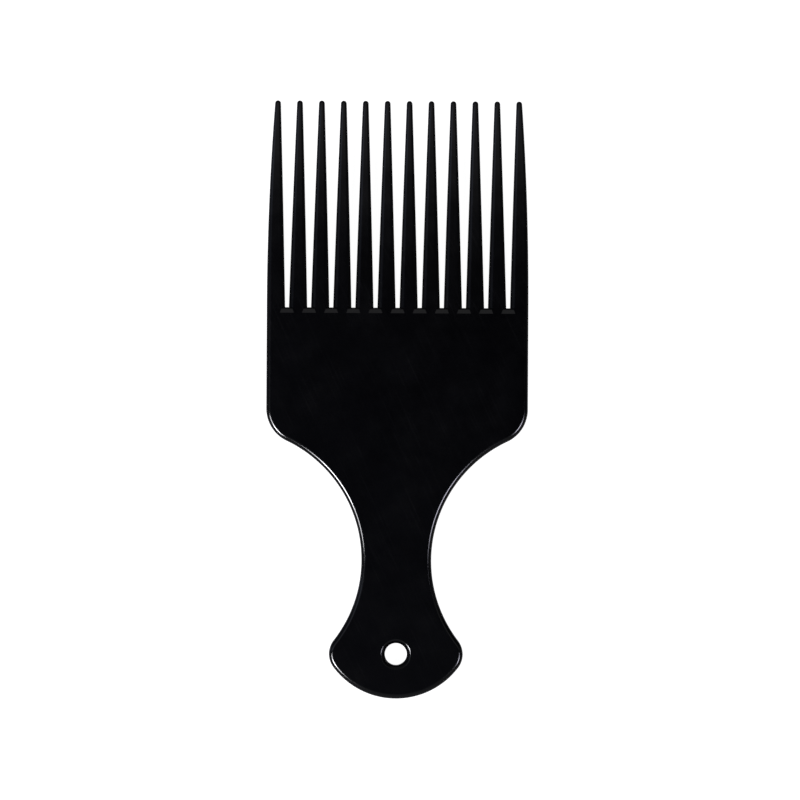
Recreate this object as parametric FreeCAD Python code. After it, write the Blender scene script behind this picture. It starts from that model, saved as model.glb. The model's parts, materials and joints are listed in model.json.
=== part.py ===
import FreeCAD, Part
import math
import os

from FreeCAD import Vector

# Afro pick: a one-piece moulded comb with long tapered teeth, a wide plate, a waisted grip and a tail
# with a hang hole. It lies on its back. X runs across the teeth, +Y from the tail to the tooth tips and
# +Z out of the front. The back is at Z zero and the origin is in the middle of the footprint. Front and
# back are alike, so every depth is measured from the middle of the thickness. All sizes are millimetres.

# The whole moulding
thickness = 4.5
edge_radius = 1.3
edge_limit_share = 0.9

# Teeth
tooth_count = 12
tooth_length = 57.17
tooth_root_gap = 1.07
tooth_tip_width = 1.6
tooth_tip_thickness = 1.8
tooth_side_bow = 0.05
end_tooth_tip_inset = 2.0
tip_round_share = 0.95
shaft_station_shares = (0, 1 / 3, 2 / 3, 1)
tip_angles = (0, 30, 55, 80)

# Ramp at the foot of each gap, on both faces
ramp_length = 1.5
ramp_depth = 0.15
ramp_mouth_flare = 0.83
ramp_foot_flare = 1.42

# Spine plate
plate_width = 72.26
plate_side_length = 27.96
shoulder_radius = 9.88

# Neck grip
waist_width = 19.28
waist_radius = 36.32

# Hanging tail
tail_width = 36.96
tail_corner_radius = 6.08
tail_drop = 12.3
hang_hole_diameter = 6.1
hang_hole_edge_radius = 1.5
tail_reach_above_hole = 9.0

# How far every cutting solid runs past what it cuts
overrun = 2.0

# Sizes worked out across the pick
middle_z = thickness / 2
rim_radius = min(edge_radius, edge_limit_share * middle_z)
plate_half = plate_width / 2
waist_half = waist_width / 2
tail_half = tail_width / 2
gap_count = tooth_count - 1
tooth_root_width = (plate_width - gap_count * tooth_root_gap) / tooth_count
root_pitch = tooth_root_width + tooth_root_gap
tip_row_width = plate_width - 2 * end_tooth_tip_inset
tip_pitch = (tip_row_width - tooth_tip_width) / gap_count
root_corner_radius = min(rim_radius, edge_limit_share * tooth_root_width / 2)
tip_corner_radius = tip_round_share * min(tooth_tip_width, tooth_tip_thickness) / 2
tip_dome_length = tooth_tip_width / 2

# Sizes worked out along the pick: the shoulder, waist and tail arcs touch each other smoothly
shoulder_step = plate_half - waist_half
shoulder_to_waist = math.sqrt(shoulder_step * (2 * (shoulder_radius + waist_radius) - shoulder_step))
tail_step = tail_half - waist_half
waist_to_tail = math.sqrt(tail_step * (2 * (tail_corner_radius + waist_radius) - tail_step))
overall_length = tooth_length + plate_side_length + shoulder_to_waist + waist_to_tail + tail_drop
tip_y = overall_length / 2
root_y = tip_y - tooth_length
shoulder_y = root_y - plate_side_length
waist_y = shoulder_y - shoulder_to_waist
tail_y = waist_y - waist_to_tail
end_y = tail_y - tail_drop
tail_top_y = tail_y + tail_reach_above_hole

# Centres of the arcs on the right side, and the points where one arc runs into the next
shoulder_centre = Vector(plate_half - shoulder_radius, shoulder_y, 0)
waist_centre = Vector(waist_half + waist_radius, waist_y, 0)
corner_centre = Vector(tail_half - tail_corner_radius, tail_y, 0)
end_rise = tail_drop - tail_corner_radius
end_radius = (corner_centre.x**2 + tail_drop**2 - tail_corner_radius**2) / (2 * end_rise)
end_centre = Vector(0, end_y + end_radius, 0)
shoulder_share = shoulder_radius / (shoulder_radius + waist_radius)
corner_share = tail_corner_radius / (tail_corner_radius + waist_radius)
end_share = end_radius / (end_radius - tail_corner_radius)
shoulder_end = shoulder_centre + (waist_centre - shoulder_centre) * shoulder_share
waist_end = corner_centre + (waist_centre - corner_centre) * corner_share
corner_end = end_centre + (corner_centre - end_centre) * end_share


def mirrored(point):
    """The same point on the left side."""
    return Vector(-point.x, point.y, point.z)


def arc_middle(centre, first, last):
    """The point of an arc half way between its two ends."""
    radius = (first - centre).Length
    toward = (first + last) * 0.5 - centre
    return centre + toward.normalize() * radius


def right_side_edges():
    """The right side of the body's outline, from the foot of the teeth to the tail's end arc."""
    top = Vector(plate_half, root_y, 0)
    side_end = Vector(plate_half, shoulder_y, 0)
    arcs = (
        (shoulder_centre, side_end, shoulder_end),
        (waist_centre, shoulder_end, waist_end),
        (corner_centre, waist_end, corner_end),
    )
    edges = [Part.LineSegment(top, side_end).toShape()]
    for centre, first, last in arcs:
        edges.append(Part.Arc(first, arc_middle(centre, first, last), last).toShape())
    return edges


def body_blank():
    """Plate, grip and tail in one, with rounded rims and a square face where the teeth stand."""
    right = right_side_edges()
    left = [edge.mirror(Vector(0, 0, 0), Vector(1, 0, 0)) for edge in right]
    lowest = Vector(0, end_y, 0)
    end_arc = Part.Arc(corner_end, lowest, mirrored(corner_end)).toShape()
    foot_line = Part.LineSegment(Vector(plate_half, root_y, 0), Vector(-plate_half, root_y, 0)).toShape()
    outline = Part.Wire(Part.__sortEdges__(right + [end_arc] + left + [foot_line]))
    blank = Part.Face(outline).extrude(Vector(0, 0, thickness))
    rims = [edge for edge in blank.Edges if is_rim(edge)]
    return blank.makeFillet(rim_radius, rims)


def is_rim(edge):
    """True for an edge round the front or back face, apart from the two where the teeth stand."""
    box = edge.BoundBox
    flat = box.ZLength < middle_z
    at_teeth = box.YMin > (root_y + shoulder_y) / 2
    return flat and not at_teeth


def slab(low_y, high_y):
    """A block wider and thicker than the pick, between two places along it."""
    width = plate_width + 2 * overrun
    depth = thickness + 2 * overrun
    corner = Vector(-width / 2, low_y, -overrun)
    return Part.makeBox(width, high_y - low_y, depth, corner)


def ramp_cutter():
    """What is cut from the front of the plate at the foot of one gap: a slope, wider at its lower end."""
    slope = ramp_depth / ramp_length
    top_z = thickness + overrun
    low = Vector(0, root_y - ramp_length, thickness)
    high = Vector(0, root_y + overrun, thickness - ramp_depth - slope * overrun)
    profile = [low, high, Vector(0, high.y, top_z), Vector(0, low.y, top_z), low]
    mouth_half = tooth_root_gap / 2 + ramp_mouth_flare
    foot_half = tooth_root_gap / 2 + ramp_foot_flare
    slope_solid = Part.Face(Part.makePolygon(profile)).extrude(Vector(2 * foot_half, 0, 0))
    slope_solid.translate(Vector(-foot_half, 0, 0))
    plan = [
        Vector(foot_half, low.y, 0),
        Vector(mouth_half, root_y, 0),
        Vector(mouth_half, high.y, 0),
        Vector(-mouth_half, high.y, 0),
        Vector(-mouth_half, root_y, 0),
        Vector(-foot_half, low.y, 0),
        Vector(foot_half, low.y, 0),
    ]
    plan_solid = Part.Face(Part.makePolygon(plan)).extrude(Vector(0, 0, top_z))
    return slope_solid.common(plan_solid)


def spine_plate(body):
    """The wide plate, with a ramp on each face at the foot of every gap."""
    front = ramp_cutter()
    back = front.mirror(Vector(0, 0, middle_z), Vector(0, 0, 1))
    cutters = []
    for gap in range(gap_count):
        across = Vector((gap - (gap_count - 1) / 2) * root_pitch, 0, 0)
        cutters.append(front.translated(across))
        cutters.append(back.translated(across))
    plate = body.common(slab(shoulder_end.y, root_y + overrun))
    return plate.cut(cutters)


def neck_grip(body):
    """The waisted grip between the shoulders and the tail."""
    return body.common(slab(tail_top_y, shoulder_end.y))


def hanging_tail(body):
    """The flared tail with its hang hole, whose edges are rounded on both faces."""
    tail = body.common(slab(end_y - overrun, tail_top_y))
    hole_radius = hang_hole_diameter / 2
    start = Vector(0, tail_y, -overrun)
    tail = tail.cut(Part.makeCylinder(hole_radius, thickness + 2 * overrun, start))
    hole_edges = [edge for edge in tail.Edges if is_hole_rim(edge)]
    return tail.makeFillet(min(hang_hole_edge_radius, edge_limit_share * middle_z), hole_edges)


def is_hole_rim(edge):
    """True for the two full circles where the hang hole meets the faces."""
    return edge.isClosed() and edge.BoundBox.ZLength < middle_z


def tooth_section(y, left, right, half_depth, radius):
    """One cross-section of a tooth: a rectangle with rounded corners, square to the tooth's length."""
    diagonal = radius * math.sqrt(1 / 2)
    corners = (
        (right - radius, half_depth - radius, 1, 1),
        (left + radius, half_depth - radius, -1, 1),
        (left + radius, radius - half_depth, -1, -1),
        (right - radius, radius - half_depth, 1, -1),
    )
    arcs = []
    for x, z, side, face in corners:
        beside = Vector(x + side * radius, y, middle_z + z)
        between = Vector(x + side * diagonal, y, middle_z + z + face * diagonal)
        above = Vector(x, y, middle_z + z + face * radius)
        ends = (beside, above) if side == face else (above, beside)
        arcs.append((ends[0], between, ends[1]))
    edges = []
    for index, (first, between, last) in enumerate(arcs):
        following = arcs[(index + 1) % len(arcs)][0]
        edges.append(Part.Arc(first, between, last).toShape())
        edges.append(Part.LineSegment(last, following).toShape())
    return Part.Wire(edges)


def flank(root_x, tip_x, along_share, side, is_outer):
    """Where one side of a tooth lies across the pick, at a share of the way from its foot to its tip."""
    if is_outer:
        return root_x + (tip_x - root_x) * along_share**2
    straight = root_x + (tip_x - root_x) * along_share
    return straight + side * tooth_side_bow * 4 * along_share * (1 - along_share)


def tooth(number):
    """One tooth, counted from the left: a tapered shaft and the dome that closes its tip."""
    place = number - (tooth_count - 1) / 2
    root_left = place * root_pitch - tooth_root_width / 2
    root_right = root_left + tooth_root_width
    tip_left = place * tip_pitch - tooth_tip_width / 2
    tip_right = tip_left + tooth_tip_width
    shaft_length = tooth_length - tip_dome_length
    shaft_sections = []
    for share in shaft_station_shares:
        left = flank(root_left, tip_left, share, -1, number == 0)
        right = flank(root_right, tip_right, share, 1, number == tooth_count - 1)
        half_depth = (thickness - (thickness - tooth_tip_thickness) * share**2) / 2
        radius = root_corner_radius + (tip_corner_radius - root_corner_radius) * share
        shaft_sections.append(tooth_section(root_y + shaft_length * share, left, right, half_depth, radius))
    centre = (tip_left + tip_right) / 2
    dome_sections = []
    for angle in tip_angles:
        size_share = math.cos(math.radians(angle))
        rise_share = math.sin(math.radians(angle)) / math.sin(math.radians(tip_angles[-1]))
        half = tooth_tip_width / 2 * size_share
        half_depth = tooth_tip_thickness / 2 * size_share
        y = root_y + shaft_length + tip_dome_length * rise_share
        radius = tip_corner_radius * size_share
        dome_sections.append(tooth_section(y, centre - half, centre + half, half_depth, radius))
    shaft = Part.makeLoft(shaft_sections, True, False)
    dome = Part.makeLoft(dome_sections, True, False)
    return shaft.fuse(dome)


def build():
    """Every node of the pick by name."""
    body = body_blank()
    nodes = {
        "spine_plate": spine_plate(body),
        "neck_grip": neck_grip(body),
        "hanging_tail": hanging_tail(body),
    }
    for number in range(tooth_count):
        nodes[f"tooth_{number + 1:02d}"] = tooth(number)
    return nodes


os.makedirs("parts", exist_ok=True)
for name, shape in build().items():
    state = "valid" if shape.isValid() else "not valid"
    print(name, len(shape.Solids), "solid", state, round(shape.Volume, 2))
    shape.exportStep(f"parts/{name}.step")
print("overall length", round(overall_length, 2), "tooth width", round(tooth_root_width, 3))
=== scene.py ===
"""Looks of a moulded afro pick: one glossy black moulding, lying on its back on a pale table.

Lengths are metres in the part's own frame: X across the teeth, +Y from the tail to the tooth tips and +Z out
of the front face. Each region of the moulding is a piece of its own that stands for one solid of the frame.
"""

import json
import math
from typing import NamedTuple

import bmesh
import bpy
from bpy.props import FloatProperty, FloatVectorProperty, IntProperty, PointerProperty
from mathutils import Matrix, Vector


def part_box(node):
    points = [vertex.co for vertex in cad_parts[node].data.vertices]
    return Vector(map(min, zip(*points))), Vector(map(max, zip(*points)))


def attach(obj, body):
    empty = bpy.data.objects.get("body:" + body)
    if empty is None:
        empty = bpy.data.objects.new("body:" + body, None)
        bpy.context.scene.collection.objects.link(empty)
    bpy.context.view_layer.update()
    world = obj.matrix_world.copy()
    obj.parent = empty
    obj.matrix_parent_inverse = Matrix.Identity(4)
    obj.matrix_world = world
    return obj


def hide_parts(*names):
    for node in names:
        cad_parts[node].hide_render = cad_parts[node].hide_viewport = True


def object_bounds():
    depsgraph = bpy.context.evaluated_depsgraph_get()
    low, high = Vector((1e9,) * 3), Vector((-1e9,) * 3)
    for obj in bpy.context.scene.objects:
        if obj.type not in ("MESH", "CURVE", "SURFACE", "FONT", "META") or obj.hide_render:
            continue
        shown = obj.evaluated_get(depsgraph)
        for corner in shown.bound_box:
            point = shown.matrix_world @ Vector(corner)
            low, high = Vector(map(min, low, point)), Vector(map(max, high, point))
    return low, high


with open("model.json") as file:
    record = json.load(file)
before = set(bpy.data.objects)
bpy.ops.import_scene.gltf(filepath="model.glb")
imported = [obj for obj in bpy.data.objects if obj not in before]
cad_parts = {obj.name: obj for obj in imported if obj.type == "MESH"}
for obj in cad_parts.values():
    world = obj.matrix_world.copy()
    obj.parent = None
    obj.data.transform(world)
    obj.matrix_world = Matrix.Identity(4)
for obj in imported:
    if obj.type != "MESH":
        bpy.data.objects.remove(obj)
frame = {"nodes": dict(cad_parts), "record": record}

bl_info = {
    "name": "Afro pick",
    "version": (1, 0, 0),
    "blender": (4, 5, 0),
    "location": "3D View > Sidebar > Pick",
    "description": "Models the regions of a moulded afro pick, with its finish and its studio",
    "category": "Object",
}

MM = 0.001
MICROMETRE = MM * MM
ROOT_BODY = "root"
TOOTH_PREFIX = "tooth_"
CAD_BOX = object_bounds()
# Where the dome of a tooth's tip has its cross-sections, in degrees from its rim to its small flat top.
DOME_ANGLES = (15, 30, 45, 58, 70, 80)
# Edges that fold more than this keep a sharp shading, as the parting line's do.
SHARP_FOLD = math.radians(14)
# How finely the round table is divided, along its curved edge and all the way round.
TABLE_EDGE_STEPS = 12
TABLE_ROUND_STEPS = 64


def linear(hex_colour):
    """An sRGB hex colour as linear red, green, blue and alpha."""
    digits = hex_colour.lstrip("#")
    channels = [int(digits[i:i + 2], 16) / 255 for i in (0, 2, 4)]
    return [c / 12.92 if c <= 0.04045 else ((c + 0.055) / 1.055) ** 2.4 for c in channels] + [1.0]


def length(name, description, millimetres):
    """A size that a user can change, given in millimetres and kept in metres."""
    return FloatProperty(
        name=name, description=description, default=millimetres * MM, min=0.0, precision=5, unit="LENGTH"
    )


def factor(name, description, default):
    """A plain factor that a user can change."""
    return FloatProperty(name=name, description=description, default=default, min=0.0)


class PickSizes(bpy.types.PropertyGroup):
    """Sizes of the moulding that its boxes in the frame don't give."""

    edge_radius: length("Edge radius", "Rounding of the rim and of the teeth's edges", 1.3)
    tooth_root_gap: length("Gap at the root", "Width of the gaps where the teeth leave the plate", 1.07)
    tooth_tip_width: length("Tip width", "Width of a tooth where its tip begins", 1.6)
    tooth_tip_thickness: length("Tip thickness", "Thickness of a tooth where its tip begins", 1.8)
    tip_rounding: factor("Tip rounding", "Corner rounding at the tip, as a share of its half width", 0.95)
    tooth_side_bow: length("Side bow", "How far a tooth's side stands out from straight at mid-length", 0.05)
    end_tip_inset: length("End tip inset", "How far the end teeth's tips lie inside the plate's sides", 2.0)
    ramp_length: length("Ramp length", "Length of the slope at the foot of each gap", 1.5)
    ramp_depth: length("Ramp depth", "Depth of that slope where it meets the gap", 0.15)
    ramp_mouth_flare: length("Ramp mouth flare", "How far its mouth reaches past the gap's side", 0.83)
    ramp_foot_flare: length("Ramp foot flare", "How far its foot reaches past the gap's side", 1.42)
    ramp_wall: length("Ramp wall", "Width of the slope's slanting side walls", 0.06)
    ramp_lip: length("Ramp lip", "Rounding of the slope's edge at the gap", 0.45)
    plate_side: length("Plate side", "Straight length of the plate's sides below the teeth", 27.96)
    shoulder_radius: length("Shoulder radius", "Radius of the plate's shoulders", 9.88)
    waist_width: length("Waist width", "Width of the grip at its waist", 19.28)
    waist_radius: length("Waist radius", "Radius of the grip's hollow sides", 36.32)
    tail_corner_radius: length("Tail corner radius", "Radius of the tail's corners", 6.08)
    hole_chamfer: length("Hole chamfer", "Width of the slope round the hang hole's edges", 0.95)
    hole_softening: length("Hole softening", "Width over which that slope's edges are rounded", 0.22)
    parting_width: length("Parting line width", "Width of the fine line where the mould's halves met", 0.18)
    parting_depth: length("Parting line depth", "Depth of that line", 0.05)
    outline_step: length("Outline step", "Spacing of the points along the rounded outline", 0.5)
    rim_segments: IntProperty(name="Rim segments", description="Faces across an edge", default=10, min=2)
    lip_segments: IntProperty(name="Lip segments", description="Faces across a ramp's lip", default=3, min=1)
    tooth_stations: IntProperty(
        name="Tooth stations", description="Cross-sections along a tooth", default=24, min=4
    )


class PickFinish(bpy.types.PropertyGroup):
    """Colour, gloss and unevenness of the moulded plastic."""

    colour: FloatVectorProperty(
        name="Colour", description="Colour of the plastic", subtype="COLOR", size=4, min=0.0, max=1.0,
        default=linear("#020203"),
    )
    roughness: FloatProperty(
        name="Roughness", description="Roughness of the polished surface", subtype="FACTOR", default=0.13,
        min=0.0, max=1.0,
    )
    ior: FloatProperty(
        name="IOR", description="Refractive index of the plastic", default=1.55, min=1.0, max=2.0
    )
    haze_size: length("Haze size", "Width of the patches of haze", 9)
    haze_least: factor("Least haze", "Roughness of the clearest places, times the surface's own", 0.8)
    haze_most: factor("Most haze", "Roughness of the haziest places, times the surface's own", 1.25)
    wipe_width: length("Wipe width", "Width of the wipe marks", 0.4)
    wipe_length: length("Wipe length", "Length of the wipe marks", 22)
    wipe_strength: factor("Wipe strength", "Roughness that a wipe mark adds, times the surface's own", 0.35)
    wipe_angle: FloatProperty(
        name="Wipe angle", description="Direction of the wipe marks", subtype="ANGLE",
        default=math.radians(25),
    )
    bow_size: length("Bow size", "Distance over which the flat faces bow", 26)
    bow_height: length("Bow height", "How far the flat faces bow", 0.15)
    peel_size: length("Peel size", "Distance between the crests of the orange peel", 2)
    peel_height: length("Peel height", "Height of the orange peel", 0.004)


class StudioSettings(bpy.types.PropertyGroup):
    """Camera and table."""

    camera_distance: length("Camera distance", "Height of the camera over the pick", 1600)
    camera_reach: length("Camera reach", "How far the camera sees", 20000)
    view_centre: FloatVectorProperty(
        name="View centre", description="Point of the table at the middle of the picture", size=2,
        unit="LENGTH", precision=5, default=(0.8 * MM, -0.07 * MM),
    )
    camera_roll: FloatProperty(
        name="Camera roll", description="Turn of the camera about its line of sight", subtype="ANGLE",
        default=0.0052,
    )
    view_width: length("View width", "Width of the table that the square picture takes in", 221.1)
    table_radius: length("Table radius", "Reach of the table's flat part", 3000)
    table_edge_radius: length("Table edge", "Radius at which the table's edge curves up", 800)
    table_drop: length("Table drop", "Gap between the table and the pick's back", 0.02)
    table_colour: FloatVectorProperty(
        name="Table colour", description="Colour of the table", subtype="COLOR", size=4, min=0.0, max=1.0,
        default=linear("#7c7c7c"),
    )
    table_roughness: factor("Table roughness", "Roughness of the table", 0.9)
    table_glow: factor("Table glow", "Brightness of the light behind the table's face", 0.98)


class Plan:
    """Places of the pick's outline, worked out from the frame's boxes and the sizes."""

    def __init__(self, sizes):
        self.sizes = sizes
        plate_low, plate_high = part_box("spine_plate")
        tail_low, tail_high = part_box("hanging_tail")
        tail_top_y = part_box("neck_grip")[0].y
        hole = next(m for m in frame["record"]["mounts"] if m["name"] == "hang_hole")
        self.thickness = plate_high.z
        self.middle = plate_high.z / 2
        self.plate_half = plate_high.x
        self.root_y = plate_high.y
        self.ramp_foot_y = self.root_y - sizes.ramp_length
        self.hole = Vector((0.0, hole["pos_m"][1], 0.0))
        self.hole_radius = hole["dims"]["r_mm"] * MM
        self.seams = (self.root_y, plate_low.y, tail_top_y)
        # Where each region of the body ends along the pick. None leaves the body whole at that end.
        self.regions = {
            "spine_plate": (plate_low.y, None),
            "neck_grip": (tail_top_y, plate_low.y),
            "hanging_tail": (None, tail_top_y),
        }

        waist_half = sizes.waist_width / 2
        shoulder_y = self.root_y - sizes.plate_side
        step = self.plate_half - waist_half
        waist_y = shoulder_y - math.sqrt(step * (2 * (sizes.shoulder_radius + sizes.waist_radius) - step))
        self.shoulder = Vector((self.plate_half - sizes.shoulder_radius, shoulder_y, 0.0))
        self.waist = Vector((waist_half + sizes.waist_radius, waist_y, 0.0))
        self.corner = Vector((tail_high.x - sizes.tail_corner_radius, self.hole.y, 0.0))
        drop = self.hole.y - tail_low.y
        rise = drop - sizes.tail_corner_radius
        end_radius = (self.corner.x**2 + drop**2 - sizes.tail_corner_radius**2) / (2 * rise)
        self.end = Vector((0.0, tail_low.y + end_radius, 0.0))

        self.tooth_names = sorted(n for n in frame["nodes"] if n.startswith(TOOTH_PREFIX))
        count = len(self.tooth_names)
        width = (2 * self.plate_half - (count - 1) * sizes.tooth_root_gap) / count
        self.root_pitch = width + sizes.tooth_root_gap
        self.tip_pitch = (2 * (self.plate_half - sizes.end_tip_inset) - sizes.tooth_tip_width) / (count - 1)


def near(value, target):
    """True where two places agree to within a micrometre."""
    return abs(value - target) < MICROMETRE


def all_of(bm):
    """Everything in a bmesh, as the operators take it."""
    return bm.verts[:] + bm.edges[:] + bm.faces[:]


def only(items, kind):
    """The items of one kind among what an operator made."""
    return [item for item in items if isinstance(item, kind)]


def turn(centre, toward):
    """The angle of the direction from one centre towards another."""
    return math.atan2(toward.y - centre.y, toward.x - centre.x)


def line_to(bm, start, end):
    """Carries an outline on from a vertex in a straight line, and returns the new vertex."""
    vertex = bmesh.ops.extrude_vert_indiv(bm, verts=[start])["verts"][0]
    vertex.co = end
    return vertex


def arc_round(bm, start, centre, angle, step):
    """Carries an outline on from a vertex round a centre, and returns the last vertex."""
    steps = max(2, math.ceil(abs(angle) * (start.co - centre).length / step))
    made = bmesh.ops.spin(bm, geom=[start], cent=centre, axis=(0, 0, 1), angle=angle, steps=steps)
    return only(made["geom_last"], bmesh.types.BMVert)[0]


class RampCorner(NamedTuple):
    """A corner of a ramp: where it lies across the pick at the foot and the mouth, and its drop there."""

    foot: float
    mouth: float
    drop: float


def ramp_corners(plan):
    """The corners of the ramps on the right half of the pick, from the middle outwards."""
    sizes = plan.sizes
    gap_half = sizes.tooth_root_gap / 2
    outer_foot = gap_half + sizes.ramp_foot_flare
    inner_foot = outer_foot - sizes.ramp_wall
    outer_mouth = gap_half + sizes.ramp_mouth_flare
    inner_mouth = outer_mouth - sizes.ramp_wall
    one_ramp = (
        RampCorner(-outer_foot, -outer_mouth, 0.0),
        RampCorner(-inner_foot, -inner_mouth, sizes.ramp_depth),
        RampCorner(inner_foot, inner_mouth, sizes.ramp_depth),
        RampCorner(outer_foot, outer_mouth, 0.0),
    )
    corners = [RampCorner(0.0, 0.0, sizes.ramp_depth)]
    for gap in range(len(plan.tooth_names) // 2):
        centre = gap * plan.root_pitch
        for foot, mouth, drop in one_ramp:
            if centre + foot > 0:
                corners.append(RampCorner(centre + foot, centre + mouth, drop))
    return corners


def half_outline(bm, plan):
    """Draws the outline of the right half at the back face and fills it with one face."""
    step = plan.sizes.outline_step
    first = bm.verts.new((0.0, plan.ramp_foot_y, 0.0))
    at = first
    for corner in ramp_corners(plan)[1:]:
        at = line_to(bm, at, (corner.foot, plan.ramp_foot_y, 0.0))
    at = line_to(bm, at, (plan.plate_half, plan.ramp_foot_y, 0.0))
    at = line_to(bm, at, (plan.plate_half, plan.shoulder.y, 0.0))
    shoulder_turn = turn(plan.shoulder, plan.waist)
    corner_turn = turn(plan.corner, plan.waist)
    end_turn = turn(plan.end, plan.corner)
    at = arc_round(bm, at, plan.shoulder, shoulder_turn, step)
    at = arc_round(bm, at, plan.waist, corner_turn - shoulder_turn, step)
    at = arc_round(bm, at, plan.corner, end_turn - corner_turn, step)
    at = arc_round(bm, at, plan.end, -math.pi / 2 - end_turn, step)
    at = line_to(bm, at, (0.0, plan.hole.y - plan.hole_radius, 0.0))
    # The hole is small, so its points stand twice as close.
    at = arc_round(bm, at, plan.hole, math.pi, step / 2)
    bmesh.ops.contextual_create(bm, geom=[at, first])
    bmesh.ops.contextual_create(bm, geom=bm.edges[:])


def level_edges(bm, plan, levels, at_hole):
    """Edges that lie at one of some heights, either round the hang hole or along the outer rim."""
    hole_reach = plan.hole_radius + 2 * plan.sizes.hole_chamfer
    found = []
    for edge in bm.edges:
        a, b = (v.co for v in edge.verts)
        level = any(near(a.z, height) and near(b.z, height) for height in levels)
        on_middle = near(a.x, 0.0) and near(b.x, 0.0)
        at_teeth = near(a.y, plan.ramp_foot_y) and near(b.y, plan.ramp_foot_y)
        beside_hole = ((a + b) / 2 - plan.hole).xy.length < hole_reach
        if level and not on_middle and not at_teeth and beside_hole == at_hole:
            found.append(edge)
    return found


def round_edges(bm, edges, radius, segments):
    """Rounds edges off with a circular profile, or with one segment cuts a slope."""
    bmesh.ops.bevel(
        bm, geom=edges, offset=radius, offset_type="OFFSET", segments=segments, profile=0.5, affect="EDGES",
        material=-1, clamp_overlap=False,
    )


def cut_ramps(bm, plan):
    """Carries the plate on to the teeth, with slopes that end in a round lip at the foot of the gaps."""
    sizes = plan.sizes
    lip = sizes.ramp_lip
    stations = [(plan.root_y - lip, 0.0)]
    for step in range(1, sizes.lip_segments + 1):
        angle = math.pi / 2 * step / sizes.lip_segments
        stations.append((plan.root_y - lip * (1 - math.sin(angle)), lip * (1 - math.cos(angle))))
    way_before = 0.0
    end = [f for f in bm.faces if all(near(v.co.y, plan.ramp_foot_y) for v in f.verts)]
    for y, sink in stations:
        way = (y - plan.ramp_foot_y) / sizes.ramp_length
        made = bmesh.ops.extrude_face_region(bm, geom=end)["geom"]
        bmesh.ops.delete(bm, geom=end, context="FACES_ONLY")
        end = only(made, bmesh.types.BMFace)
        verts = only(made, bmesh.types.BMVert)
        # A corner that has moved could pass for its neighbour, so all are found before any is moved.
        moves = []
        for foot, mouth, drop in ramp_corners(plan):
            x_before = foot + (mouth - foot) * way_before
            found = [v for v in verts if near(v.co.x, x_before)]
            moves += [(v, foot + (mouth - foot) * way, drop) for v in found]
        for vertex in verts:
            vertex.co.y = y
        for vertex, x, drop in moves:
            vertex.co.x = x
            if drop > 0:
                depth = drop * way + sink
                vertex.co.z = depth if vertex.co.z < plan.middle else plan.thickness - depth
        way_before = way


def score_parting_line(bm, plan):
    """Scores the line round the outer wall where the two halves of the mould met."""
    sizes = plan.sizes

    def on_wall(vertex):
        """True for the points half-way up the outer wall."""
        at_teeth = near(vertex.co.y, plan.root_y)
        at_hole = (vertex.co - plan.hole).xy.length < plan.hole_radius + sizes.hole_chamfer
        return near(vertex.co.z, plan.middle) and not at_teeth and not at_hole

    made = bmesh.ops.bisect_plane(
        bm, geom=all_of(bm), dist=MICROMETRE, plane_co=(0, 0, plan.middle), plane_no=(0, 0, 1)
    )
    wall = [e for e in only(made["geom_cut"], bmesh.types.BMEdge) if any(on_wall(v) for v in e.verts)]
    # Two segments leave a row of points between them, which becomes the bottom of the line.
    round_edges(bm, wall, sizes.parting_width / 2, segments=2)
    bm.normal_update()
    for vertex in bm.verts:
        if on_wall(vertex):
            vertex.co -= vertex.normal * sizes.parting_depth


def body_mesh(plan):
    """Plate, grip and tail as one closed bmesh."""
    sizes = plan.sizes
    bm = bmesh.new()
    half_outline(bm, plan)
    made = bmesh.ops.extrude_face_region(bm, geom=bm.faces[:])["geom"]
    bmesh.ops.translate(bm, verts=only(made, bmesh.types.BMVert), vec=(0.0, 0.0, plan.thickness))
    bmesh.ops.recalc_face_normals(bm, faces=bm.faces[:])
    faces = (0.0, plan.thickness)
    slope_ends = (sizes.hole_chamfer, plan.thickness - sizes.hole_chamfer)
    rim = level_edges(bm, plan, faces, at_hole=False)
    round_edges(bm, rim, sizes.edge_radius, sizes.rim_segments)
    # The hole's edges are cut to a slope, and then the slope's own edges are rounded.
    hole = level_edges(bm, plan, faces, at_hole=True)
    round_edges(bm, hole, sizes.hole_chamfer, segments=1)
    hole_slopes = level_edges(bm, plan, faces + slope_ends, at_hole=True)
    round_edges(bm, hole_slopes, sizes.hole_softening, sizes.rim_segments // 2)
    cut_ramps(bm, plan)
    # The half is open along the middle before it is mirrored, so that nothing is left inside.
    inner = [f for f in bm.faces if all(near(v.co.x, 0.0) for v in f.verts)]
    bmesh.ops.delete(bm, geom=inner, context="FACES_ONLY")
    bmesh.ops.mirror(bm, geom=all_of(bm), matrix=Matrix(), merge_dist=MICROMETRE, axis="X")
    bmesh.ops.remove_doubles(bm, verts=bm.verts[:], dist=MICROMETRE)
    bmesh.ops.recalc_face_normals(bm, faces=bm.faces[:])
    score_parting_line(bm, plan)
    return bm


def keep_between(bm, low_y, high_y):
    """Keeps what lies between two places along the pick, and closes the cut faces."""
    for place, normal in ((low_y, -1), (high_y, 1)):
        if place is None:
            continue
        made = bmesh.ops.bisect_plane(
            bm, geom=all_of(bm), dist=MICROMETRE, plane_co=(0, place, 0), plane_no=(0, normal, 0),
            clear_outer=True,
        )
        bmesh.ops.edgeloop_fill(bm, edges=only(made["geom_cut"], bmesh.types.BMEdge))
    bmesh.ops.recalc_face_normals(bm, faces=bm.faces[:])


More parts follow.
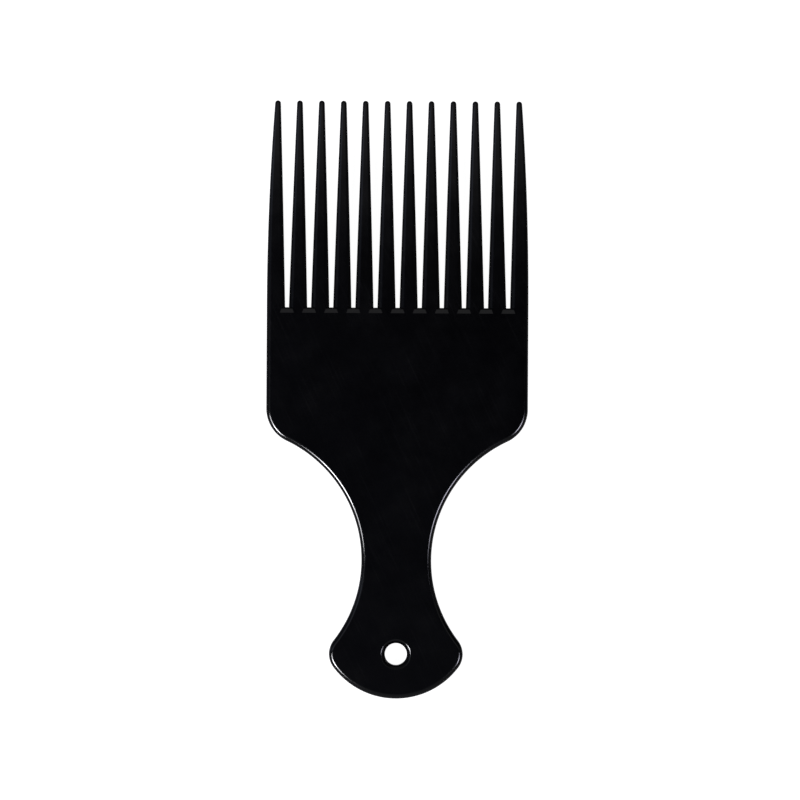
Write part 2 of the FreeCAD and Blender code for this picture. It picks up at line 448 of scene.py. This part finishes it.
def rounded_section(bm, plan, y, left, right, half_depth, radius, size=1.0):
    """One cross-section of a tooth, a rectangle with rounded corners and the parting line, as a face."""
    sizes = plan.sizes
    line = size * sizes.parting_width / 2
    score = size * sizes.parting_depth
    places = (
        (left, -half_depth), (right, -half_depth), (right, -line), (right - score, 0.0), (right, line),
        (right, half_depth), (left, half_depth), (left, line), (left + score, 0.0), (left, -line),
    )
    verts = [bm.verts.new((x, y, plan.middle + z)) for x, z in places]
    bm.faces.new(verts)
    corners = [v for v, (_, z) in zip(verts, places) if abs(z) == half_depth]
    bmesh.ops.bevel(
        bm, geom=corners, offset=radius, offset_type="OFFSET", segments=sizes.rim_segments, profile=0.5,
        affect="VERTICES", material=-1, clamp_overlap=False,
    )
    # The bevel makes the face anew, so it is found again by its place.
    return next(f for f in bm.faces if near(f.verts[0].co.y, y))


def flank(root_x, tip_x, way, bow, is_outer):
    """Where a side of a tooth lies across the pick, a part of the way from its root to its tip.

    The outer sides of the end teeth leave the plate straight and bend in. The others bow out at mid-length.
    """
    if is_outer:
        return root_x + (tip_x - root_x) * way**2
    return root_x + (tip_x - root_x) * way + bow * 4 * way * (1 - way)


def tooth_mesh(plan, number):
    """One tooth, counted from the left, as a closed bmesh: a tapered shaft and a domed tip."""
    sizes = plan.sizes
    last = len(plan.tooth_names) - 1
    low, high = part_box(plan.tooth_names[number])
    centre = (number - last / 2) * plan.tip_pitch
    tip_half = sizes.tooth_tip_width / 2
    tip_depth = sizes.tooth_tip_thickness / 2
    tip_radius = sizes.tip_rounding * min(tip_half, tip_depth)
    shaft = high.y - low.y - tip_half
    bm = bmesh.new()
    sections = []
    for station in range(sizes.tooth_stations + 1):
        way = station / sizes.tooth_stations
        left = flank(low.x, centre - tip_half, way, -sizes.tooth_side_bow, number == 0)
        right = flank(high.x, centre + tip_half, way, sizes.tooth_side_bow, number == last)
        depth = plan.middle + (tip_depth - plan.middle) * way**2
        radius = sizes.edge_radius + (tip_radius - sizes.edge_radius) * way
        sections.append(rounded_section(bm, plan, low.y + shaft * way, left, right, depth, radius))
    top = math.radians(DOME_ANGLES[-1])
    for angle in (math.radians(degrees) for degrees in DOME_ANGLES):
        size = math.cos(angle)
        y = low.y + shaft + tip_half * math.sin(angle) / math.sin(top)
        half = tip_half * size
        depth, radius = tip_depth * size, tip_radius * size
        sections.append(rounded_section(bm, plan, y, centre - half, centre + half, depth, radius, size))
    loops = [list(f.edges) for f in sections]
    for first, second in zip(loops, loops[1:]):
        bmesh.ops.bridge_loops(bm, edges=first + second)
    bmesh.ops.delete(bm, geom=sections[1:-1], context="FACES_ONLY")
    bmesh.ops.recalc_face_normals(bm, faces=bm.faces[:])
    return bm


def mark_sharp(bm, plan):
    """Shades the faces smooth, but for the seams between the regions, the ramps and the parting line."""
    flat_half = plan.plate_half - plan.sizes.edge_radius

    def beside_ramp(vertex):
        """True for the points of the strip that holds the ramps."""
        along = plan.ramp_foot_y - MICROMETRE < vertex.co.y < plan.root_y + MICROMETRE
        return along and abs(vertex.co.x) < flat_half

    for face in bm.faces:
        face.smooth = True
    for edge in bm.edges:
        at_seam = any(all(near(v.co.y, place) for v in edge.verts) for place in plan.seams)
        at_ramp = all(beside_ramp(v) for v in edge.verts)
        fold = len(edge.link_faces) == 2 and edge.calc_face_angle() > SHARP_FOLD
        edge.smooth = not (at_seam or at_ramp or fold)


def finish_piece(bm, node, plan, material):
    """Turns a bmesh into a piece of the pick that stands for one solid of the frame."""
    name = f"moulded_{node}"
    mark_sharp(bm, plan)
    mesh = bpy.data.meshes.new(name)
    bm.to_mesh(mesh)
    bm.free()
    piece = bpy.data.objects.new(name, mesh)
    bpy.context.scene.collection.objects.link(piece)
    mesh.materials.append(material)
    normals = piece.modifiers.new("Face normals", "WEIGHTED_NORMAL")
    normals.mode = "FACE_AREA"
    normals.keep_sharp = True
    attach(piece, ROOT_BODY)
    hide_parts(node)


def add_node(tree, kind, settings=(), inputs=()):
    """Adds a node with its settings, and sets or links its inputs."""
    node = tree.nodes.new(kind)
    for name, value in dict(settings).items():
        setattr(node, name, value)
    for name, value in dict(inputs).items():
        if isinstance(value, bpy.types.NodeSocket):
            tree.links.new(value, node.inputs[name])
        else:
            node.inputs[name].default_value = value
    return node


def moulded_polystyrene(finish):
    """Black polystyrene from a polished mould: a glossy skin, a little wavy, with haze and wipe marks."""
    name = "Black polystyrene, injection moulded"
    if name in bpy.data.materials:
        return bpy.data.materials[name]
    material = bpy.data.materials.new(name)
    material.use_nodes = True
    tree = material.node_tree
    tree.nodes.clear()
    place = add_node(tree, "ShaderNodeTexCoord").outputs["Object"]
    # Fingers and packing leave patches of haze, which soften the reflections here and there.
    # Most of the noise lies between these two values, which stand for clear and hazy.
    clear, hazy = 0.3, 0.7
    haze = add_node(
        tree, "ShaderNodeTexNoise", {"noise_dimensions": "3D"},
        {"Vector": place, "Scale": 1 / finish.haze_size, "Detail": 4.0, "Roughness": 0.6},
    )
    hazed = add_node(
        tree, "ShaderNodeMapRange", {},
        {
            "Value": haze.outputs["Fac"], "From Min": clear, "From Max": hazy,
            "To Min": finish.roughness * finish.haze_least, "To Max": finish.roughness * finish.haze_most,
        },
    )
    # Wipe marks are micrometres wide on the real pick. They are drawn far wider here, so that they show.
    # Only the crests of the noise make a mark, so the marks are few.
    faint, full = 0.58, 0.75
    wiped = add_node(
        tree, "ShaderNodeMapping", {"vector_type": "TEXTURE"},
        {
            "Vector": place, "Rotation": (0.0, 0.0, finish.wipe_angle),
            "Scale": (finish.wipe_width, finish.wipe_length, finish.wipe_length),
        },
    )
    hairlines = add_node(
        tree, "ShaderNodeTexNoise", {"noise_dimensions": "3D"},
        {"Vector": wiped.outputs["Vector"], "Scale": 1.0, "Detail": 2.0, "Roughness": 0.5},
    )
    marked = add_node(
        tree, "ShaderNodeMapRange", {},
        {
            "Value": hairlines.outputs["Fac"], "From Min": faint, "From Max": full,
            "To Min": 0.0, "To Max": finish.roughness * finish.wipe_strength,
        },
    )
    rough = add_node(
        tree, "ShaderNodeMath", {"operation": "ADD"},
        {0: hazed.outputs["Result"], 1: marked.outputs["Result"]},
    )
    # The plastic shrinks unevenly as it cools, so flat faces bow a little, and reflections bend on them.
    wave = add_node(
        tree, "ShaderNodeTexNoise", {"noise_dimensions": "3D"},
        {"Vector": place, "Scale": 1 / finish.bow_size, "Detail": 2.0, "Roughness": 0.5},
    )
    bowed = add_node(
        tree, "ShaderNodeBump", {},
        {"Height": wave.outputs["Fac"], "Strength": 1.0, "Distance": finish.bow_height},
    )
    # The mould's polish leaves a faint orange peel, which ripples the highlights.
    peel = add_node(
        tree, "ShaderNodeTexNoise", {"noise_dimensions": "3D"},
        {"Vector": place, "Scale": 1 / finish.peel_size, "Detail": 1.0, "Roughness": 0.5},
    )
    skin = add_node(
        tree, "ShaderNodeBump", {},
        {
            "Height": peel.outputs["Fac"], "Strength": 1.0, "Distance": finish.peel_height,
            "Normal": bowed.outputs["Normal"],
        },
    )
    shader = add_node(
        tree, "ShaderNodeBsdfPrincipled", {},
        {
            "Base Color": finish.colour, "Roughness": rough.outputs["Value"], "IOR": finish.ior,
            "Normal": skin.outputs["Normal"],
        },
    )
    add_node(tree, "ShaderNodeOutputMaterial", {}, {"Surface": shader.outputs["BSDF"]})
    return material


def matt_laminate(studio):
    """White laminate with a matt pressed face, lit from behind: an even pale ground with no gloss."""
    material = bpy.data.materials.new("White laminate, matt pressed")
    material.use_nodes = True
    shader = material.node_tree.nodes["Principled BSDF"]
    shader.inputs["Base Color"].default_value = studio.table_colour
    shader.inputs["Roughness"].default_value = studio.table_roughness
    shader.inputs["Specular IOR Level"].default_value = 0.0
    shader.inputs["Emission Color"].default_value = linear("#ffffff")
    shader.inputs["Emission Strength"].default_value = studio.table_glow
    return material


def plan_and_plastic(context):
    """The outline's places and the plastic, which every piece of the pick needs."""
    return Plan(context.scene.pick_sizes), moulded_polystyrene(context.scene.pick_finish)


def model_region(context, node):
    """Models the whole body and keeps the region of one node."""
    plan, plastic = plan_and_plastic(context)
    bm = body_mesh(plan)
    keep_between(bm, *plan.regions[node])
    finish_piece(bm, node, plan, plastic)


class PICK_OT_spine_plate(bpy.types.Operator):
    """Models the wide plate that the teeth stand on"""

    bl_idname = "pick.spine_plate"
    bl_label = "Spine plate"
    bl_options = {"REGISTER", "UNDO"}

    def execute(self, context):
        model_region(context, "spine_plate")
        return {"FINISHED"}


class PICK_OT_neck_grip(bpy.types.Operator):
    """Models the waisted grip"""

    bl_idname = "pick.neck_grip"
    bl_label = "Neck grip"
    bl_options = {"REGISTER", "UNDO"}

    def execute(self, context):
        model_region(context, "neck_grip")
        return {"FINISHED"}


class PICK_OT_hanging_tail(bpy.types.Operator):
    """Models the flared tail with its hang hole"""

    bl_idname = "pick.hanging_tail"
    bl_label = "Hanging tail"
    bl_options = {"REGISTER", "UNDO"}

    def execute(self, context):
        model_region(context, "hanging_tail")
        return {"FINISHED"}


class PICK_OT_teeth(bpy.types.Operator):
    """Models the row of teeth, each as a piece of its own"""

    bl_idname = "pick.teeth"
    bl_label = "Teeth"
    bl_options = {"REGISTER", "UNDO"}

    def execute(self, context):
        plan, plastic = plan_and_plastic(context)
        for number, node in enumerate(plan.tooth_names):
            finish_piece(tooth_mesh(plan, number), node, plan, plastic)
        return {"FINISHED"}


class Softbox(NamedTuple):
    """A soft light that faces the pick's middle.

    Its angles round the pick and from straight up are degrees. Its distance and sides are millimetres.
    """

    name: str
    azimuth: float
    zenith: float
    distance: float
    sides: tuple
    radiance: float
    colour: str


# Each side has a wide light and, in front of it, a small bright one that makes the core of the rim's glint.
SOFTBOXES = (
    Softbox(
        "Softbox left", azimuth=212.5, zenith=46, distance=620, sides=(170, 320), radiance=17.5,
        colour="#fafaff",
    ),
    Softbox(
        "Softbox left middle", azimuth=217.5, zenith=46, distance=600, sides=(147, 130), radiance=44,
        colour="#fafaff",
    ),
    Softbox(
        "Softbox right", azimuth=332, zenith=39, distance=620, sides=(157, 230), radiance=5.5,
        colour="#eeedff",
    ),
    Softbox(
        "Softbox right middle", azimuth=330, zenith=39, distance=600, sides=(133, 130), radiance=11,
        colour="#eeedff",
    ),
)

# The room's dim glows, as stops of how far a direction leans one way and how bright the glow is there.
# Past the tips: it lies on the teeth's tapering faces and on the ramps, and fades to the sides.
TIPS_STOPS = (
    (0.0, 0.0), (0.035, 0.0), (0.08, 0.02), (0.147, 0.3), (0.22, 0.3), (0.4, 0.05), (1.0, 0.1),
)
ASIDE_STOPS = ((0.0, 1.0), (0.2, 1.0), (0.6, 0.4), (1.0, 0.1))
# On the left: it lies on the left edges of the teeth, most of it in a band that is lifted towards the tips.
LEFT_STOPS = ((0.0, 0.0), (0.02, 0.02), (0.1, 0.12), (0.6, 0.6), (1.0, 0.15))
LIFT_STOPS = (
    (0.0, 0.01), (0.02, 0.015), (0.06, 0.12), (0.14, 1.0), (0.2, 0.15), (0.5, 0.03), (1.0, 0.01),
)
# At the lower left: it lies on the plate's lower left corner.
LOWER_LEFT = (-0.85, -0.5, 0.0)
CORNER_STOPS = ((0.0, 0.0), (0.006, 0.0), (0.018, 0.025), (0.04, 0.03), (0.3, 0.03), (1.0, 0.02))
# Past the tail, at both sides and from below: these lie on the rims and walls.
TAIL_STOPS = ((0.0, 0.0), (0.035, 0.0), (0.055, 0.03), (0.3, 0.1), (1.0, 0.16))
SIDE_STOPS = ((0.0, 0.0), (0.88, 0.0), (0.97, 0.05), (1.0, 0.09))
DOWN_STOPS = ((0.0, 0.0), (0.3, 0.04), (1.0, 0.2))


def add_softbox(softbox):
    """Sets one soft light up over the table."""
    around, down = math.radians(softbox.azimuth), math.radians(softbox.zenith)
    toward = Vector((math.sin(down) * math.cos(around), math.sin(down) * math.sin(around), math.cos(down)))
    data = bpy.data.lights.new(softbox.name, "AREA")
    data.shape = "RECTANGLE"
    data.size, data.size_y = (side * MM for side in softbox.sides)
    data.energy = softbox.radiance * math.pi * data.size * data.size_y
    data.color = linear(softbox.colour)[:3]
    lamp = bpy.data.objects.new(softbox.name, data)
    lamp.location = toward * softbox.distance * MM
    lamp.rotation_euler = (0.0, down, around)
    lamp.visible_camera = False
    bpy.context.scene.collection.objects.link(lamp)


def glow(tree, colour, *fades):
    """A dim glow of the room: a colour times fades, each a value with its stops of place and brightness."""
    total = colour[:3]
    for value, stops in fades:
        fade = add_node(tree, "ShaderNodeValToRGB", {}, {"Fac": value})
        fade.color_ramp.interpolation = "EASE"
        # A new ramp has two elements already.
        for place, _ in stops[2:]:
            fade.color_ramp.elements.new(place)
        for element, (place, level) in zip(fade.color_ramp.elements, stops):
            element.position = place
            element.color = (level, level, level, 1.0)
        total = add_node(
            tree, "ShaderNodeVectorMath", {"operation": "MULTIPLY"}, {0: total, 1: fade.outputs["Color"]}
        ).outputs["Vector"]
    return total


class PICK_OT_stage(bpy.types.Operator):
    """Sets up the pale table, the soft lights and the camera over the pick"""

    bl_idname = "pick.stage"
    bl_label = "Studio"
    bl_options = {"REGISTER", "UNDO"}

    def execute(self, context):
        studio = context.scene.pick_studio
        self.add_table(context, studio)
        for softbox in SOFTBOXES:
            add_softbox(softbox)
        self.add_room(context)
        self.add_camera(context, studio)
        return {"FINISHED"}

    def add_table(self, context, studio):
        """A round table whose edge curves up. The plastic doesn't mirror it, so that the rims stay dark."""
        flat, edge = studio.table_radius, studio.table_edge_radius
        bm = bmesh.new()
        at = bm.verts.new((0.0, 0.0, -studio.table_drop))
        at = line_to(bm, at, (flat, 0.0, -studio.table_drop))
        bmesh.ops.spin(
            bm, geom=[at], cent=(flat, 0.0, edge), axis=(0, -1, 0), angle=math.pi / 2, steps=TABLE_EDGE_STEPS
        )
        bmesh.ops.spin(
            bm, geom=bm.verts[:] + bm.edges[:], cent=(0, 0, 0), axis=(0, 0, 1), angle=2 * math.pi,
            steps=TABLE_ROUND_STEPS, use_merge=True,
        )
        bmesh.ops.remove_doubles(bm, verts=bm.verts[:], dist=MM)
        mesh = bpy.data.meshes.new("Table")
        bm.to_mesh(mesh)
        bm.free()
        floor = bpy.data.objects.new("Table", mesh)
        context.scene.collection.objects.link(floor)
        mesh.materials.append(matt_laminate(studio))
        floor.visible_glossy = False

    def add_room(self, context):
        """Gives the dark room the dim glows that the plastic mirrors."""
        world = bpy.data.worlds.new("Dim studio")
        context.scene.world = world
        world.use_nodes = True
        tree = world.node_tree
        tree.nodes.clear()
        direction = add_node(tree, "ShaderNodeTexCoord").outputs["Generated"]
        toward = add_node(tree, "ShaderNodeSeparateXYZ", {}, {"Vector": direction}).outputs
        reverse = add_node(
            tree, "ShaderNodeVectorMath", {"operation": "SCALE"}, {"Vector": direction, "Scale": -1.0}
        ).outputs["Vector"]
        away = add_node(tree, "ShaderNodeSeparateXYZ", {}, {"Vector": reverse}).outputs
        aside = add_node(tree, "ShaderNodeMath", {"operation": "ABSOLUTE"}, {0: toward["X"]}).outputs["Value"]
        corner = add_node(
            tree, "ShaderNodeVectorMath", {"operation": "DOT_PRODUCT"}, {0: direction, 1: LOWER_LEFT}
        ).outputs["Value"]
        grey = linear("#fdfcff")
        sky = linear("#d4e0ff")
        glows = (
            glow(tree, grey, (toward["Y"], TIPS_STOPS), (aside, ASIDE_STOPS)),
            glow(tree, sky, (away["X"], LEFT_STOPS), (toward["Y"], LIFT_STOPS)),
            glow(tree, sky, (corner, CORNER_STOPS)),
            glow(tree, grey, (away["Y"], TAIL_STOPS)),
            glow(tree, grey, (aside, SIDE_STOPS)),
            glow(tree, grey, (away["Z"], DOWN_STOPS)),
        )
        total = glows[0]
        for more in glows[1:]:
            total = add_node(
                tree, "ShaderNodeVectorMath", {"operation": "ADD"}, {0: total, 1: more}
            ).outputs["Vector"]
        room = add_node(tree, "ShaderNodeBackground", {}, {"Color": total, "Strength": 1.0})
        add_node(tree, "ShaderNodeOutputWorld", {}, {"Surface": room.outputs["Background"]})

    def add_camera(self, context, studio):
        """A camera that looks straight down, with plain colours in the picture."""
        data = bpy.data.cameras.new("Camera")
        data.lens = studio.camera_distance * data.sensor_width / studio.view_width
        data.clip_end = studio.camera_reach
        camera = bpy.data.objects.new("Camera", data)
        camera.location = (*studio.view_centre, studio.camera_distance + CAD_BOX[1].z / 2)
        camera.rotation_euler = (0, 0, studio.camera_roll)
        context.scene.collection.objects.link(camera)
        context.scene.camera = camera
        context.scene.view_settings.view_transform = "Standard"
        context.scene.view_settings.look = "None"


class PICK_PT_sidebar(bpy.types.Panel):
    """Lists what the pick is made of"""

    bl_idname = "PICK_PT_sidebar"
    bl_label = "Afro pick"
    bl_space_type = "VIEW_3D"
    bl_region_type = "UI"
    bl_category = "Pick"

    def draw(self, context):
        layout = self.layout
        for operator in OPERATORS:
            layout.operator(operator.bl_idname)
        for group in (context.scene.pick_sizes, context.scene.pick_finish, context.scene.pick_studio):
            box = layout.box()
            for name in group.__annotations__:
                box.prop(group, name)


OPERATORS = (PICK_OT_spine_plate, PICK_OT_neck_grip, PICK_OT_hanging_tail, PICK_OT_teeth, PICK_OT_stage)
CLASSES = (PickSizes, PickFinish, StudioSettings, *OPERATORS, PICK_PT_sidebar)


def register():
    """Adds the classes, and the settings on the scene."""
    for cls in CLASSES:
        bpy.utils.register_class(cls)
    bpy.types.Scene.pick_sizes = PointerProperty(type=PickSizes)
    bpy.types.Scene.pick_finish = PointerProperty(type=PickFinish)
    bpy.types.Scene.pick_studio = PointerProperty(type=StudioSettings)


def unregister():
    """Takes away what register adds."""
    del bpy.types.Scene.pick_studio
    del bpy.types.Scene.pick_finish
    del bpy.types.Scene.pick_sizes
    for cls in reversed(CLASSES):
        bpy.utils.unregister_class(cls)


def main():
    """Models the pick and its studio."""
    register()
    bpy.ops.pick.spine_plate()
    bpy.ops.pick.neck_grip()
    bpy.ops.pick.hanging_tail()
    bpy.ops.pick.teeth()
    bpy.ops.pick.stage()


if __name__ == "__main__":
    main()
